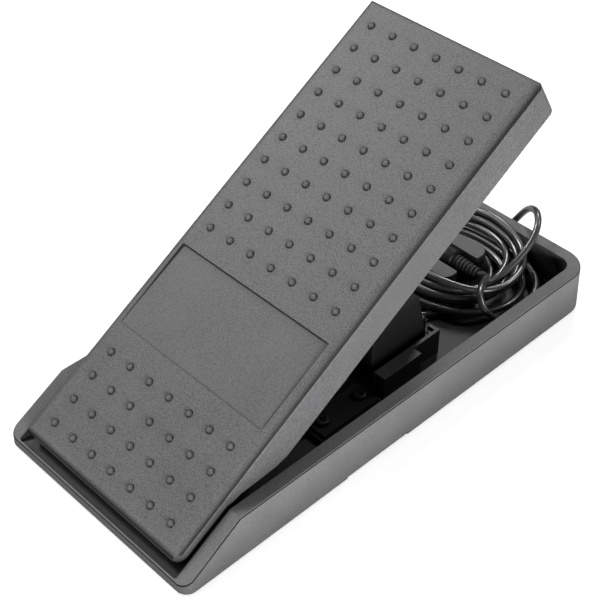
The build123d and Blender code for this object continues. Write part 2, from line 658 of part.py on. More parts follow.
# --------------------------------------------------------- housing and bumpers
COVER_HALF, COVER_WALL = 35.0, 2.2
COVER_Z = 9.05                  # lower edge
ROOF_Y0, ROOF_Z0 = 150.5, 47.6  # roof at its heel edge
ROOF_Y1, ROOF_Z1 = 184, 45.6    # and at its toe edge
COVER_OUT = [(ROOF_Y0, COVER_Z), (ROOF_Y0, ROOF_Z0), (ROOF_Y1, ROOF_Z1), (192.6, COVER_Z)]
COVER_IN = [(152.7, 5), (152.7, 45.3), (182.2, 43.5), (191.2, 5)]
HEAD_SEAT_Z = 14                # housing screw heads, down inside the towers
TOE_BUMPER_X = 27.5


def housing_cover():
    solid = side_prism(COVER_OUT, -COVER_HALF, COVER_HALF)
    cover = fillet([e for e in solid.edges() if e.center().Z > 20], 1.4)
    cover -= side_prism(COVER_IN, -COVER_HALF + COVER_WALL, COVER_HALF - COVER_WALL)
    # screw towers run down inside the cover
    for x, y in HOUSING_SCREWS:
        cover += rod_z(x, y, COVER_Z, 42, 3.6) & solid
        cover -= rod_z(x, y, 5, 60, 1.8)
        cover -= rod_z(x, y, HEAD_SEAT_Z, 60, 3.0)
    # slot for the sector, wider at the foot of the heel wall
    cover -= box(-6.0, 6.0, 140, 168.5, 5, 60)
    cover -= box(-8.5, 8.5, 140, 153, 5, 32)
    # seats of the toe bumpers
    for side in SIDES:
        cover -= rod_z(side * TOE_BUMPER_X, LANDED_Y, 38, 60, 2.05)
    # mouth for the lead
    return cover - box(4, 13, 185, 200, 5, 15.5)


def housing_screws():
    return group(screw(x, y, HEAD_SEAT_Z, shank_d=3.0, length=10.5, head_d=5.6, head_h=2.0)
                 for x, y in HOUSING_SCREWS)


def above_roof(y):
    """point just above the slope of the housing roof"""
    return y, ROOF_Z0 - (y - ROOF_Y0) * (ROOF_Z0 - ROOF_Z1) / (ROOF_Y1 - ROOF_Y0) + 0.06


def toe_bumpers():
    """buttons pegged into the housing roof, tops just under the landed stops"""
    below_roof = side_prism([(140, 30), above_roof(140), above_roof(200), (200, 30)], -90, 90)
    bumpers = []
    for side in SIDES:
        x = side * TOE_BUMPER_X
        bumper = rod_z(x, LANDED_Y, 44.0, LANDED_Z - 0.12, 5.2)
        bumper = chamfer([e for e in bumper.edges() if e.center().Z > LANDED_Z - 0.2], 0.6)
        bumper -= below_roof
        bumper += rod_z(x, LANDED_Y, 41.6, 48.0, 1.9)
        bumpers.append(bumper)
    return group(bumpers)


def heel_bumpers():
    """flat pads on the sloped pillars"""
    return on_treadle(group(side_box(side, 33.0, 43.0, -246, -236, PILLAR_TZ + 0.02, -8.12)
                            for side in SIDES))


# -------------------------------------------------------------------- the lead
# centre line (x, y, z): housing, floor, toe wall, over the rim, six turns, plug
CABLE_PATH = [
    (8.50, 187.00, 8.20), (9.89, 194.77, 6.97), (12.85, 202.15, 6.37), (16.78, 209.10, 6.22),
    (20.60, 216.11, 6.22), (23.45, 223.56, 6.22), (25.05, 231.38, 6.22), (25.66, 239.34, 6.22),
    (25.38, 247.32, 6.22), (23.64, 255.10, 6.23), (19.75, 262.04, 6.36), (13.99, 267.54, 6.77),
    (7.66, 272.35, 7.48), (2.79, 278.54, 8.34), (1.93, 286.45, 8.54), (2.94, 293.88, 10.50),
    (6.18, 297.39, 16.77), (10.11, 297.60, 23.69), (14.66, 296.06, 30.06), (20.17, 293.21, 35.06),
    (26.31, 288.86, 37.57), (31.63, 283.07, 36.64), (34.65, 276.64, 33.07), (35.64, 269.96, 28.82),
    (35.53, 262.95, 25.00), (35.05, 255.62, 21.87), (34.38, 247.99, 19.62), (32.78, 240.31, 18.24),
    (29.05, 233.30, 17.61), (23.39, 227.71, 17.18), (16.42, 223.85, 16.95), (8.75, 221.66, 16.60),
    (0.84, 220.84, 16.05), (-7.11, 221.12, 15.35), (-14.96, 222.40, 14.59), (-22.51, 224.86, 13.85),
    (-29.39, 228.83, 13.18), (-34.79, 234.65, 12.65), (-37.81, 242.01, 12.56),
    (-38.34, 249.91, 13.35), (-36.72, 257.51, 15.14), (-33.39, 264.40, 17.38),
    (-28.61, 270.31, 19.78), (-22.51, 274.79, 22.28), (-15.49, 277.81, 24.57),
    (-7.91, 279.55, 26.34), (-0.01, 280.30, 27.18), (7.97, 280.20, 27.04), (15.85, 279.25, 26.16),
    (23.42, 277.10, 24.86), (30.31, 273.35, 23.40), (35.91, 267.86, 22.01), (39.65, 260.90, 21.01),
    (41.37, 253.14, 20.42), (41.03, 245.19, 20.18), (38.25, 237.73, 20.27), (33.11, 231.67, 20.63),
    (26.40, 227.40, 21.18), (18.88, 224.76, 21.51), (11.03, 223.35, 21.48), (3.07, 222.79, 21.22),
    (-4.88, 223.02, 20.50), (-12.64, 224.26, 19.14), (-19.96, 226.89, 17.36),
    (-26.37, 231.24, 15.49), (-31.20, 237.36, 13.87), (-33.64, 244.87, 12.96),
    (-33.37, 252.81, 13.27), (-30.93, 260.29, 14.57), (-26.86, 266.87, 16.49),
    (-21.38, 272.23, 18.68), (-14.72, 276.22, 20.50), (-7.20, 278.58, 21.66), (0.73, 279.44, 22.05),
    (8.70, 279.31, 21.68), (16.53, 278.08, 20.75), (23.90, 275.32, 19.48), (30.25, 270.71, 18.13),
    (34.92, 264.38, 16.90), (37.64, 256.94, 15.99), (38.55, 249.04, 15.45), (37.76, 241.11, 15.25),
    (35.06, 233.61, 15.23), (30.41, 227.13, 15.27), (24.20, 222.15, 15.30), (16.98, 218.76, 15.33),
    (9.23, 216.82, 15.33), (1.29, 216.08, 15.27), (-6.69, 216.32, 15.06), (-14.58, 217.49, 14.68),
    (-22.23, 219.71, 14.19), (-29.37, 223.23, 13.67), (-35.53, 228.26, 13.19),
    (-40.13, 234.75, 12.83), (-42.61, 242.32, 12.62), (-42.75, 250.28, 12.58),
    (-40.67, 257.97, 12.74), (-36.48, 264.72, 13.24), (-30.55, 269.98, 14.13),
    (-23.65, 273.88, 15.04), (-16.17, 276.53, 15.91), (-8.37, 278.03, 16.69),
    (-0.42, 278.56, 17.10), (7.54, 277.98, 17.11), (15.19, 275.76, 16.79), (21.82, 271.39, 16.26),
    (26.61, 265.07, 15.65), (29.26, 257.58, 15.04), (29.99, 249.66, 14.47), (28.87, 241.78, 13.96),
    (25.71, 234.48, 13.52), (20.61, 228.38, 13.13), (13.75, 224.43, 12.73), (5.89, 223.22, 12.08),
    (-2.06, 223.12, 11.30), (-9.97, 223.79, 10.46), (-17.52, 226.14, 9.62), (-23.74, 231.08, 8.95),
    (-28.18, 237.67, 8.50), (-30.14, 245.38, 8.38), (-29.15, 253.26, 8.69), (-25.36, 260.21, 9.43),
    (-19.43, 265.43, 10.42), (-12.22, 268.69, 11.38), (-4.42, 270.21, 12.02), (3.55, 270.56, 12.21),
    (11.52, 270.09, 11.98), (19.28, 268.31, 11.53), (26.27, 264.53, 11.00), (31.49, 258.55, 10.56),
    (34.12, 251.05, 10.30), (34.14, 243.09, 10.23), (31.75, 235.49, 10.32), (27.23, 228.94, 10.45),
    (21.09, 223.85, 10.47), (13.89, 220.43, 10.40), (6.08, 218.81, 10.49), (-1.89, 218.46, 10.51),
    (-9.84, 219.17, 10.28), (-17.48, 221.38, 9.83), (-24.39, 225.33, 9.25), (-30.06, 230.90, 8.72),
    (-33.92, 237.86, 8.40), (-35.43, 245.67, 8.34), (-34.46, 253.57, 8.59), (-31.14, 260.79, 9.18),
    (-25.86, 266.70, 10.01), (-19.19, 270.97, 10.93), (-11.71, 273.60, 11.75),
    (-3.85, 274.86, 12.28), (4.13, 275.16, 12.46), (12.11, 274.89, 12.31), (20.03, 273.94, 12.00),
    (27.75, 271.93, 11.65), (34.87, 268.37, 11.33), (40.67, 262.93, 11.06), (44.38, 255.89, 10.86),
    (45.75, 248.04, 10.72), (45.00, 240.10, 10.65), (42.26, 232.62, 10.61), (37.70, 226.09, 10.59),
    (31.69, 220.84, 10.61), (24.72, 216.96, 10.64), (17.18, 214.35, 10.63), (9.34, 212.86, 10.54),
    (1.38, 212.29, 10.41), (-6.60, 212.56, 10.21), (-14.50, 213.70, 9.93), (-22.18, 215.84, 9.58),
    (-29.42, 219.17, 9.21), (-35.88, 223.83, 8.86), (-41.10, 229.85, 8.57), (-44.58, 237.02, 8.38),
    (-45.98, 244.86, 8.32), (-45.21, 252.79, 8.43), (-42.34, 260.22, 8.72), (-37.63, 266.63, 9.19),
    (-31.50, 271.69, 9.90), (-24.47, 275.36, 10.70), (-16.89, 277.76, 11.49),
    (-9.04, 279.03, 12.18), (-1.08, 279.46, 12.59), (6.90, 279.46, 12.73), (14.89, 279.20, 12.74),
    (22.83, 278.37, 12.72), (30.62, 276.66, 12.69), (38.02, 273.68, 12.66), (44.52, 269.07, 12.60),
    (49.44, 262.80, 12.50), (52.46, 255.43, 12.38), (54.03, 247.60, 12.39), (54.88, 239.67, 12.88),
    (54.98, 231.83, 14.32), (53.15, 224.76, 17.41), (48.00, 221.29, 22.13), (41.71, 224.28, 25.64),
    (37.25, 230.83, 26.18), (33.99, 237.90, 24.47), (29.93, 243.71, 20.91), (23.00, 245.00, 18.20),
]
RINGS_PER_SPAN = 1.6
CLAMP_TOP = 9.7
# insulated leads: terminal dy, x offset at the cable end, start z
WIRES = [(-5, -1.25, 7.8), (0, 0.0, 9.1), (5, 1.25, 7.8)]


def smooth(points):
    return Spline(*[Vector(*point) for point in points])


def tube(points, r):
    """round lead skinned through evenly spaced circles, carried along without twist"""
    line = smooth(points)
    count = int((len(points) - 1) * RINGS_PER_SPAN)
    across = (line % 0).cross(Vector(0, 0, 1))
    rings = []
    for i in range(count + 1):
        centre, along = line @ (i / count), line % (i / count)
        across = (across - along * across.dot(along)).normalized()
        rings.append(Plane(origin=centre, x_dir=across, z_dir=along) * Circle(r))
    return loft(rings, ruled=True)


def cable():
    return tube(CABLE_PATH, CABLE_R)


def cable_grommet():
    """flanged grommet in the toe wall, its mouth flared"""
    grommet = rod_y(GROMMET_X, 282.0, 290.0, GROMMET_Z, 3.95)
    grommet += rod_y(GROMMET_X, 289.95, 291.6, GROMMET_Z, 5.2)
    grommet = fillet([e for e in grommet.edges() if e.center().Y > 291.5], 0.8)
    grommet -= rod_y(GROMMET_X, 270, 300, GROMMET_Z, CABLE_R + 0.55)
    flare = Rot(-90, 0, 0) * Cone(2.3, 4.4, 5.0)
    return grommet - Pos(GROMMET_X + 0.3, 291.0, GROMMET_Z + 0.4) * flare


def cable_clamp():
    """strap over the lead, beside the housing"""
    x0, y0, y1 = CLAMP_X - 15.4, CLAMP_Y - 3, CLAMP_Y + 3
    clamp = box(x0, CLAMP_X + 3.2, y0, y1, 8.45, CLAMP_TOP)
    clamp += box(x0, CLAMP_X - 13.6, y0, y1, 4.25, CLAMP_TOP)
    clamp = fillet([e for e in clamp.edges() if e.center().Z > CLAMP_TOP - 0.01], 0.4)
    return clamp - rod_z(CLAMP_X, CLAMP_Y, 0, 20, 1.7)


def clamp_screw():
    return screw(CLAMP_X, CLAMP_Y, CLAMP_TOP, shank_d=3.0, length=6.2, head_d=5.0, head_h=1.7)


def lead_wires():
    """three insulated leads from the end of the cable to the terminals"""
    wires = []
    for dy, dx, z in WIRES:
        line = smooth([
            (8.5 + dx, 186.5, z),
            (9.4 + dx * 1.5, 185.2, z + 0.3),
            (13.6 + dx * 0.6, 184.2, 11.2 + dy * 0.12),
            (POT_X + 2.3, POT_Y + 9.5 + dy * 0.35, 12.0 + dy * 0.16),
            (POT_X + 2.35, POT_Y + dy + 2.4, 12.4 + dy * 0.2),
            (POT_X + 2.45, POT_Y + dy + 0.3, 13.2),
        ])
        wires.append(tube([line @ (i / 24) for i in range(25)], 0.55))
    return group(wires)


# -------------------------------------------------------------------- the plug
# quarter-inch three-pole phone plug, lying in the slot with its tip to the left;
# profiles are (x, r), x from the handle's right end or from the sleeve's collar
HANDLE_X = 8.0
COLLAR_X = HANDLE_X - 30.02


def plug_part(x, profile):
    return turned(profile, x, PLUG_Y, PLUG_Z)


def plug_handle():
    handle = plug_part(HANDLE_X, [
        (0, 3.95), (0, 5.2), (-1.0, 6.2), (-4.0, 6.5), (-26, 6.5), (-28, 6.1), (-30.0, 5.6),
        (-30.0, 2.6), (-14.0, 2.6), (-14.0, 3.95)])
    # twelve grip grooves
    groove = Pos(0, 0, 6.75) * (Rot(0, 90, 0) * Cylinder(0.55, 17))
    for i in range(12):
        handle -= Pos(HANDLE_X - 15, PLUG_Y, PLUG_Z) * (Rot(30 * i, 0, 0) * groove)
    return handle


def plug_strain_relief():
    """sleeve with six ribs, tapering to the right"""
    profile = [(-13.9, 2.15), (-13.9, 3.9), (0, 3.9), (1.5, 3.9)]
    x, pitch = 1.5, 2.3
    for i in range(6):
        r = 3.9 - 0.12 * i
        profile += [(x, r - 0.75), (x + 1.0, r - 0.75), (x + 1.0, r - 0.05), (x + pitch, r - 0.1)]
        x += pitch
    profile += [(x, 2.6), (x, 2.15)]
    return plug_part(HANDLE_X, profile)


def plug_sleeve():
    return plug_part(COLLAR_X, [
        (15.0, 1.6), (15.0, 2.55), (0, 2.55), (0, 5.0), (-1.6, 5.0), (-1.6, 3.175),
        (-15.5, 3.175), (-15.5, 2.3), (-2, 2.3), (-2, 1.6)])


def plug_ring():
    return plug_part(COLLAR_X, [(-17.0, 1.55), (-17.0, 3.15), (-21.3, 3.15), (-21.3, 1.55)])


def plug_insulators():
    return group([
        plug_part(COLLAR_X, [(-4.0, 1.05), (-4.0, 2.25), (-15.52, 2.25), (-15.52, 3.12),
                             (-16.98, 3.12), (-16.98, 1.05)]),
        plug_part(COLLAR_X, [(-21.32, 1.05), (-21.32, 3.12), (-22.7, 3.12), (-22.7, 1.05)])])


def plug_tip():
    return plug_part(COLLAR_X, [
        (10.0, 0.0), (10.0, 1.0), (-22.72, 1.0), (-22.72, 3.1), (-24.6, 3.1), (-26.2, 2.3),
        (-27.6, 2.75), (-28.6, 2.75), (-30.2, 1.6), (-30.9, 0.5), (-30.95, 0.0)])


# ---------------------------------------------------------------------- export
# each function is named after the file it fills
PIECES = [
    base_tray, bottom_plate, bottom_screws, rubber_feet,
    pivot_stand, stand_screws, pivot_bolt, friction_washers, spring_washer, lock_nut,
    treadle_shell, treadle_carrier, carrier_screws, pivot_bushes, sector_gear,
    pot_case, pot_track, pot_terminals, pot_bushing, pot_washer, pot_nut, pot_shaft,
    pot_wiper, pot_pinion, pot_bracket, bracket_screws,
    housing_cover, housing_screws, toe_bumpers, heel_bumpers,
    cable, cable_grommet, cable_clamp, clamp_screw,
    plug_handle, plug_strain_relief, plug_sleeve, plug_ring, plug_insulators, plug_tip,
    lead_wires,
]

os.makedirs("parts", exist_ok=True)
for piece in PIECES:
    save(piece.__name__, piece())
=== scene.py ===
# A foot pedal in metres, +Z up: a tray on the floor, a treadle that rises towards the
# toe end (+Y), and a coiled lead over the tray's toe half. X runs across the pedal.
import bpy
import bmesh
import json
import math
from mathutils import Matrix, Vector


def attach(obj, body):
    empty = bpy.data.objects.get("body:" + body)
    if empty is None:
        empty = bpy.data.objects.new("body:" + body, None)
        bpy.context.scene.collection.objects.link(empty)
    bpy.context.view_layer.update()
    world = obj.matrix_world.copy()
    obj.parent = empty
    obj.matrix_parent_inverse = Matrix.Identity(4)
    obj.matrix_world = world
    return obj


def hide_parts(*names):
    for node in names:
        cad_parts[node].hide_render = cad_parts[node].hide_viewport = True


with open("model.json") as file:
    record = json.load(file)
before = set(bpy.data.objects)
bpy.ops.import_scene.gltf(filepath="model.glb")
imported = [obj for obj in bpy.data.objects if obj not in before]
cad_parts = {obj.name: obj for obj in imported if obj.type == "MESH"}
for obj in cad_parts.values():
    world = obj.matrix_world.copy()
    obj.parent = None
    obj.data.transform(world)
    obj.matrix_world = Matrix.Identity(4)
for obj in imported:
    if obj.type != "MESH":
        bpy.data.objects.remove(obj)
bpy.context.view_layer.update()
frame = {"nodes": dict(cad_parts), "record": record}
scene = bpy.context.scene

MM = 0.001
WHITE = (1, 1, 1)
COOL = (1.0, 1.0, 1.02)

# Treadle skin: where its own frame sits, and its slope at rest
TREADLE_ORIGIN = (0.0, 0.0757, 0.1517)
TREADLE_SLOPE = math.radians(31.6)
TREADLE_UP = (0.0, -math.sin(TREADLE_SLOPE), math.cos(TREADLE_SLOPE))

# Smoother panel on the treadle, in the treadle's frame
PANEL_HALF_WIDTH = 0.0503
PANEL_HEEL = -0.1914
PANEL_TOE = -0.1424
PANEL_FLOOR = -0.0012
# Outline of the painted shade line round the panel
LINE_HALF_WIDTH = 0.0502
LINE_TOE = -0.1425
LINE_FLOOR = -0.0016
LINE_OFFSET = 0.00012  # the line's centre lies this far inside the outline
LINE_FADE = 20.4  # fade per metre towards the heel, about one panel length

# Hollow of the tray, darkened inside by painted shade
TRAY_HALF_WIDTH = 0.0590
TRAY_HEEL = -0.1475
TRAY_TOE = 0.1329
TRAY_HEIGHT_SCALE = 37.0  # per metre, puts the rim at about 0.98


# ------------------------------------------------------------------ shader tree
def gray(value, tint=WHITE):
    return (value * tint[0], value * tint[1], value * tint[2], 1)


class ShaderTree:
    """A new material with a Principled shader, and short ways to add nodes to it."""

    def __init__(self, name):
        self.material = bpy.data.materials.new(name)
        self.material.use_nodes = True
        self.tree = self.material.node_tree
        self.tree.nodes.clear()
        self.output = self.node("ShaderNodeOutputMaterial")
        self.principled = self.node("ShaderNodeBsdfPrincipled")
        self.feed(self.output.inputs[0], self.principled.outputs[0])
        self.coords = self.node("ShaderNodeTexCoord").outputs["Object"]

    def feed(self, socket, value):
        """Set an input to a number or tuple, or link an output to it."""
        if isinstance(value, (int, float, tuple)):
            socket.default_value = value
        else:
            self.tree.links.new(value, socket)

    def fill(self, node, **inputs):
        """Feed inputs by name, with underscores standing for spaces."""
        for key, value in inputs.items():
            self.feed(node.inputs[key.replace("_", " ")], value)

    def node(self, kind, **inputs):
        node = self.tree.nodes.new(kind)
        self.fill(node, **inputs)
        return node

    def surface(self, **inputs):
        self.fill(self.principled, **inputs)

    def mapped(self, vector_type="POINT", **inputs):
        node = self.node("ShaderNodeMapping", Vector=self.coords, **inputs)
        node.vector_type = vector_type
        return node.outputs[0]

    def noise(self, scale, detail, rough, distortion=0.0, coords=None):
        node = self.node("ShaderNodeTexNoise", Scale=scale, Detail=detail, Roughness=rough,
                         Distortion=distortion, Vector=coords or self.coords)
        return node.outputs["Fac"]

    def pebbles(self, scale):
        node = self.node("ShaderNodeTexVoronoi", Scale=scale, Randomness=1.0,
                         Vector=self.coords)
        node.feature = "SMOOTH_F1"
        return node.outputs["Distance"]

    def ramp(self, value, *stops):
        """Gray ramp through (position, level) stops."""
        node = self.node("ShaderNodeValToRGB", Fac=value)
        elements = node.color_ramp.elements
        while len(elements) < len(stops):
            elements.new(0.5)
        for element, (position, level) in zip(elements, stops):
            element.position = position
            element.color = (level, level, level, 1)
        return node.outputs[0]

    def math(self, operation, *values, clamp=False):
        node = self.node("ShaderNodeMath")
        node.operation = operation
        node.use_clamp = clamp
        for socket, value in zip(node.inputs, values):
            self.feed(socket, value)
        return node.outputs[0]

    def add(self, first, second):
        return self.math("ADD", first, second)

    def sub(self, first, second):
        return self.math("SUBTRACT", first, second)

    def mul(self, first, second):
        return self.math("MULTIPLY", first, second)

    def less(self, first, second):
        return self.math("LESS_THAN", first, second)

    def greater(self, first, second):
        return self.math("GREATER_THAN", first, second)

    def weighted(self, *terms, base=None):
        """Sum of (output, weight) terms, plus base if given."""
        total = base
        for output, weight in reversed(terms):
            term = self.mul(output, weight)
            total = term if total is None else self.add(term, total)
        return total

    def mix(self, factor, first, second):
        node = self.node("ShaderNodeMix")
        node.data_type = "RGBA"
        # 0, 6 and 7 are the factor and the two colour inputs
        for index, value in ((0, factor), (6, first), (7, second)):
            self.feed(node.inputs[index], value)
        return node.outputs[2]

    def layer(self, under, over, mask, amount):
        """Lay the colour over on under, where mask is, at most by amount."""
        return self.mix(self.mul(mask, amount), under, over)

    def dot(self, first, second):
        node = self.node("ShaderNodeVectorMath")
        node.operation = "DOT_PRODUCT"
        self.feed(node.inputs[0], first)
        self.feed(node.inputs[1], second)
        return node.outputs["Value"]

    def round_normal(self, radius, samples=6):
        """Normal rolled over the edges within radius."""
        node = self.node("ShaderNodeBevel", Radius=radius)
        node.samples = samples
        return node.outputs[0]

    def bump(self, height, strength, distance, normal=None):
        node = self.node("ShaderNodeBump", Strength=strength, Distance=distance, Height=height)
        if normal is not None:
            self.fill(node, Normal=normal)
        return node.outputs["Normal"]

    def corner_shade(self, distance, darkest=0.15, power=1.4):
        """Painted shade: 1 in the open, falling to darkest deep in corners and gaps."""
        node = self.node("ShaderNodeAmbientOcclusion", Distance=distance)
        node.samples = 8
        openness = self.math("POWER", node.outputs["AO"], power)
        return self.weighted((openness, 1.0 - darkest), base=darkest)

    def edge(self, radius, gain):
        """0 on flats, rising to 1 on edges, from a rounded normal."""
        rounded = self.round_normal(radius, samples=4)
        normal = self.node("ShaderNodeNewGeometry").outputs["Normal"]
        bend = self.math("SUBTRACT", 1.0, self.dot(rounded, normal), clamp=True)
        return self.math("MULTIPLY", bend, gain, clamp=True)


# ------------------------------------------------------------------ masks
def tilt(tree, up, *stops):
    """Ramp over the cosine between the piece's own normal and the direction up."""
    normal = tree.node("ShaderNodeTexCoord").outputs["Normal"]
    return tree.ramp(tree.dot(normal, up), *stops)


def treadle_edge_shade(tree):
    """Painted shade, strongest on faces tilted 50 to 70 degrees from the treadle's top: edges
    and domes.
    """
    return tilt(tree, TREADLE_UP, (0.265, 0.0), (0.30, 1.0), (0.62, 0.88), (0.95, 0.0))


def rim_edge_shade(tree):
    """Painted shade: 1 on the rounded edge between the rim and the outer wall of the tray."""
    return tilt(tree, (0.0, 0.0, 1.0), (0.06, 0.0), (0.14, 1.0), (0.70, 1.0), (0.80, 0.0))


def split(tree, coords):
    """The x, y and z outputs of a vector."""
    return tree.node("ShaderNodeSeparateXYZ", Vector=coords).outputs


def tray_hollow_shade(tree):
    """Painted shade inside the tray: 0 at the rim and outside, 1 near the floor."""
    x, y, z = split(tree, tree.coords)
    in_x = tree.less(tree.math("ABSOLUTE", x), TRAY_HALF_WIDTH)
    in_y = tree.mul(tree.less(y, TRAY_TOE), tree.greater(y, TRAY_HEEL))
    depth = tree.ramp(tree.mul(z, TRAY_HEIGHT_SCALE),
                      (0.22, 1.0), (0.80, 0.55), (0.975, 0.3), (0.985, 0.0))
    return tree.mul(tree.mul(in_x, in_y), depth)


def treadle_position(tree):
    """Distance from the centre line, y and z in the treadle skin's own frame."""
    turned = tree.mapped("TEXTURE", Location=TREADLE_ORIGIN, Rotation=(TREADLE_SLOPE, 0.0, 0.0))
    x, y, z = split(tree, turned)
    return tree.math("ABSOLUTE", x), y, z


def panel_mask(tree):
    """1 on the grained skin, 0.75 inside the smoother panel of the treadle top."""
    across, y, z = treadle_position(tree)
    in_x = tree.less(across, PANEL_HALF_WIDTH)
    past_heel = tree.greater(y, PANEL_HEEL)
    before_toe = tree.less(y, PANEL_TOE)
    on_top = tree.greater(z, PANEL_FLOOR)
    inside = tree.mul(tree.mul(in_x, past_heel), tree.mul(before_toe, on_top))
    return tree.sub(1.0, tree.mul(inside, 0.25))


def panel_groove_shade(tree):
    """A thin line of painted shade round the panel, fading towards the heel."""
    across, y, z = treadle_position(tree)
    past_side = tree.sub(across, LINE_HALF_WIDTH)
    past_toe = tree.add(y, -LINE_TOE)
    past_heel = tree.sub(PANEL_HEEL, y)
    # signed distance to the outline, negative inside
    distance = tree.math("MAXIMUM", past_side, tree.math("MAXIMUM", past_toe, past_heel))
    off_line = tree.math("ABSOLUTE", tree.add(distance, LINE_OFFSET))
    # ramp positions in millimetres
    line = tree.ramp(tree.mul(off_line, 1000.0), (0.22, 1.0), (0.55, 0.0))
    heelward = tree.weighted((tree.sub(0.0, past_toe), LINE_FADE), base=0.0)
    fade = tree.ramp(heelward, (0.0, 1.0), (0.9, 0.75), (0.99, 0.35))
    on_top = tree.greater(z, LINE_FLOOR)
    return tree.mul(tree.mul(line, fade), on_top)


# ------------------------------------------------------------------ materials
def moulded(name, base, rough, grain, bump, tint=WHITE, var=0.12, spec=0.45, wear_and_highlight=0.0,
            speck=0.30, soft=0.00035, mask=None, roll=None, groove_shade=None, inside=None):
    """Moulded plastic: pebble grain, slight mottling, flecks, worn edges with a painted
    highlight, scuffs, and painted shade in corners and gaps.

    grain is the pebble size in mm, var the depth of the mottling and soft the edge
    radius. mask and the three function arguments after it each return a mask: of the
    grain, of painted shade on rounded edges, of a painted shade line and of painted
    shade in a hollow.
    """
    tree = ShaderTree(name)

    def tone(gain):
        return gray(base * gain, tint)

    pebble_scale = 1000.0 / grain
    pebble = tree.pebbles(scale=pebble_scale)
    pores = tree.noise(scale=pebble_scale * 0.7, detail=5.0, rough=0.6)
    fine = tree.noise(scale=pebble_scale * 2.3, detail=3.0, rough=0.5)
    mottle = tree.noise(scale=38.0, detail=3.0, rough=0.5)
    height = tree.weighted((pebble, 0.8), (pores, 0.8), (fine, 0.25))
    color = tree.mix(tree.ramp(mottle, (0.3, 0.0), (0.7, 1.0)),
                     tone(1 - var), tone(1 + var * 0.6))

    # light flecks and dark pits from the two ends of one noise
    grained = mask(tree) if mask else 1.0
    grit = tree.noise(scale=1750.0, detail=2.0, rough=0.6)
    fleck = tree.mul(tree.ramp(grit, (0.44, 0.0), (0.60, 1.0)), grained)
    color = tree.layer(color, tone(1.7), mask=fleck, amount=speck)
    pit = tree.mul(tree.ramp(grit, (0.34, 1.0), (0.46, 0.0)), grained)
    color = tree.layer(color, tone(0.40), mask=pit, amount=speck * 1.1)

    # Lighter edges in patches: partly real wear, partly a painted highlight where edges catch
    # the light.
    if wear_and_highlight:
        patches = tree.noise(scale=260.0, detail=4.0, rough=0.6)
        rubbed_and_highlit = tree.mul(tree.edge(radius=0.0009, gain=9.0),
                          tree.ramp(patches, (0.35, 0.2), (0.7, 1.0)))
        color = tree.layer(color, tone(1.9), mask=rubbed_and_highlit, amount=wear_and_highlight)

    # hairline scuffs from shoes
    stretched = tree.mapped(Scale=(240.0, 14.0, 60.0), Rotation=(0.0, 0.0, 0.5))
    streaks = tree.noise(scale=1.0, detail=4.0, rough=0.7, distortion=0.6, coords=stretched)
    scuff = tree.ramp(streaks, (0.66, 0.0), (0.72, 1.0))
    color = tree.layer(color, tone(2.2), mask=scuff, amount=0.05)

    roughness = tree.weighted((mottle, 0.10), (pores, 0.12), base=rough - 0.11)
    specular = spec
    # Painted shade, deepest towards the floor of the hollow.
    if inside:
        color = tree.layer(color, tone(0.10), mask=inside(tree), amount=0.78)
    # Painted shade: a dark line in the panel's groove.
    if groove_shade:
        color = tree.layer(color, tone(0.04), mask=groove_shade(tree), amount=0.92)
    # Painted shade on faces in a band of tilt, such as rounded edges and dome sides, which are
    # also made smoother and less shiny.
    if roll:
        shade_band_mask = roll(tree)
        color = tree.layer(color, tone(0.06), mask=shade_band_mask, amount=0.92)
        roughness = tree.sub(roughness, tree.mul(shade_band_mask, 0.12))
        specular = tree.mul(tree.sub(1.0, tree.mul(shade_band_mask, 0.9)), spec)
    # Painted shade: darker in corners and gaps, from ambient occlusion.
    color = tree.mix(tree.corner_shade(distance=0.03), gray(0.0), color)

    # grain over rounded edges, then a broad shallow swell
    grain_height = tree.mul(height, grained) if mask else height
    normal = tree.bump(grain_height, strength=bump, distance=0.00022 * grain,
                       normal=tree.round_normal(soft))
    swell = tree.noise(scale=60.0, detail=2.0, rough=0.5)
    normal = tree.bump(swell, strength=0.05, distance=0.0008, normal=normal)
    tree.surface(Base_Color=color, Roughness=roughness, Specular_IOR_Level=specular,
                 Normal=normal)
    return tree.material


def metal(name, base, rough, brush, tint=WHITE, spots=0.15):
    """Plated or turned metal: brushed along X, with darker stains and lighter edges."""
    tree = ShaderTree(name)
    stretched = tree.mapped(Scale=(28.0, 900.0, 900.0))
    brushing = tree.noise(scale=1.0, detail=4.0, rough=0.6, coords=stretched)
    stains = tree.noise(scale=95.0, detail=5.0, rough=0.65)
    color = tree.mix(tree.ramp(stains, (0.35, 0.0), (0.75, 1.0)),
                     gray(base, tint), gray(base * (1 - spots), tint))
    color = tree.layer(color, gray(base * 1.12, tint), mask=brushing, amount=0.22)
    edge = tree.edge(radius=0.0006, gain=6.0)
    color = tree.layer(color, gray(min(base * 1.35, 0.95), tint), mask=edge, amount=0.35)
    tree.surface(
        Base_Color=color,
        Metallic=1.0,
        Roughness=tree.weighted((brushing, 0.16), (stains, 0.14), base=rough - 0.14),
        Normal=tree.bump(brushing, strength=0.12 * brush, distance=0.00006,
                         normal=tree.round_normal(0.00018)),
    )
    return tree.material


def powder(name, base, rough):
    """Powder-coated steel: fine orange peel with a few pale scratches."""
    tree = ShaderTree(name)
    peel = tree.noise(scale=1500.0, detail=3.0, rough=0.5)
    mottle = tree.noise(scale=45.0, detail=4.0, rough=0.55)
    color = tree.mix(mottle, gray(base * 0.85), gray(base * 1.25))
    marks = tree.noise(scale=210.0, detail=6.0, rough=0.7, distortion=1.4)
    scratch = tree.ramp(marks, (0.62, 0.0), (0.70, 1.0))
    color = tree.layer(color, gray(base * 3.0), mask=scratch, amount=0.12)
    tree.surface(
        Base_Color=color,
        Roughness=tree.weighted((peel, 0.2), base=rough - 0.08),
        Normal=tree.bump(peel, strength=0.35, distance=0.00012,
                         normal=tree.round_normal(0.0003)),
        Specular_IOR_Level=0.25,
    )
    return tree.material


